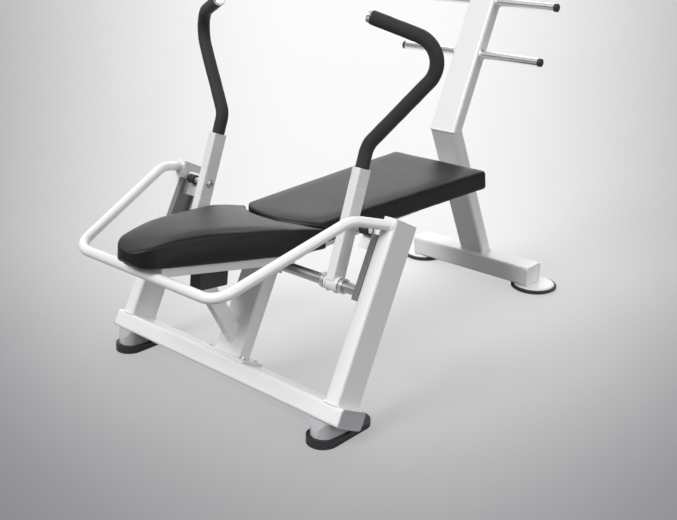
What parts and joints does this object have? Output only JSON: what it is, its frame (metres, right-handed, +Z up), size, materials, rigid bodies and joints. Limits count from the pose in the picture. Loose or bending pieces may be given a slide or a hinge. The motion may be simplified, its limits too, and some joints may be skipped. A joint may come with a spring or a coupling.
{
  "type": "abdominal crunch bench with swinging grip arms and a storage rack",
  "caption": "Low padded bench on a leaning white frame, with swinging foam grip arms on a cross shaft, a loop rail round the seat and a rear rack with storage pegs",
  "frame": {"origin": "bottom centre of the bounding box, on the floor", "axes": "+X towards the right side seen from the front end, +Y from the seat nose towards the rack, +Z up"},
  "size_m": [0.9328, 1.702, 1.2829],
  "materials": {
    "frame_paint": "gloss white powder coat",
    "arm_paint": "silver-grey metallic paint, semi gloss",
    "bracket_steel": "dark grey paint, satin",
    "shaft_steel": "turned and polished along the shaft",
    "peg_chrome": "bright chrome plate",
    "zinc_hardware": "bright zinc plate",
    "bush_bronze": "sintered bronze, matt",
    "vinyl": "black upholstery vinyl, fine grain, soft sheen",
    "ply_board": "plywood, sanded",
    "foam": "black closed-cell foam sleeve, matt",
    "black_rubber": "black moulded rubber, satin",
    "cap_plastic": "blue-grey moulded plastic",
    "light_plastic": "light grey moulded plastic",
    "black_plastic": "black moulded plastic"
  },
  "bodies": {
    "frame": {"front_crossbar": "frame_paint", "front_end_caps": "cap_plastic", "left_upright": "frame_paint", "right_upright": "frame_paint", "upright_caps": "frame_paint", "loop_rail": "frame_paint", "post_base_plate": "frame_paint", "centre_post": "frame_paint", "centre_bracket": "frame_paint", "brace": "frame_paint", "seat_block": "black_plastic", "seat_rails": "frame_paint", "seat_cross_bars": "frame_paint", "spine_beam": "frame_paint", "pad_supports": "frame_paint", "rear_crossbar": "frame_paint", "rear_end_caps": "light_plastic", "rack_lower_tube": "frame_paint", "rack_upper_tube": "frame_paint", "rack_cap": "light_plastic", "lower_peg_rod": "peg_chrome", "middle_peg_rod": "peg_chrome", "upper_peg_rod": "peg_chrome", "peg_collars": "zinc_hardware", "peg_end_caps": "black_plastic", "cross_shaft": "shaft_steel", "shaft_collars": "zinc_hardware", "left_pivot_bracket": "bracket_steel", "right_pivot_bracket": "bracket_steel", "bearing_blocks": "arm_paint", "stop_plates": "frame_paint", "front_foot_saddles": "cap_plastic", "front_foot_pads": "black_rubber", "rear_foot_plates": "frame_paint", "rear_foot_pads": "black_rubber", "seat_board": "ply_board", "seat_pad": "vinyl", "back_board": "ply_board", "back_pad": "vinyl", "post_base_bolts": "zinc_hardware", "pad_bolts": "zinc_hardware"},
    "left_arm": {"left_arm_tube": "arm_paint", "left_arm_hub": "arm_paint", "left_hub_bushes": "bush_bronze", "left_handle_bar": "shaft_steel", "left_foam_grip": "foam", "left_grip_cap": "peg_chrome", "left_stop_bolt": "zinc_hardware", "left_stop_roller": "black_rubber"},
    "right_arm": {"right_arm_tube": "arm_paint", "right_arm_hub": "arm_paint", "right_hub_bushes": "bush_bronze", "right_handle_bar": "shaft_steel", "right_foam_grip": "foam", "right_grip_cap": "peg_chrome", "right_stop_bolt": "zinc_hardware", "right_stop_roller": "black_rubber"}
  },
  "joints": [
    {"name": "left_arm_swing", "type": "hinge", "parent": "frame", "child": "left_arm", "pos_m": [-0.284, -0.38802, 0.351], "axis": [1, 0, 0], "range_deg": [0, 55]},
    {"name": "right_arm_swing", "type": "hinge", "parent": "frame", "child": "right_arm", "pos_m": [0.284, -0.38802, 0.351], "axis": [1, 0, 0], "range_deg": [0, 55]}
  ]
}
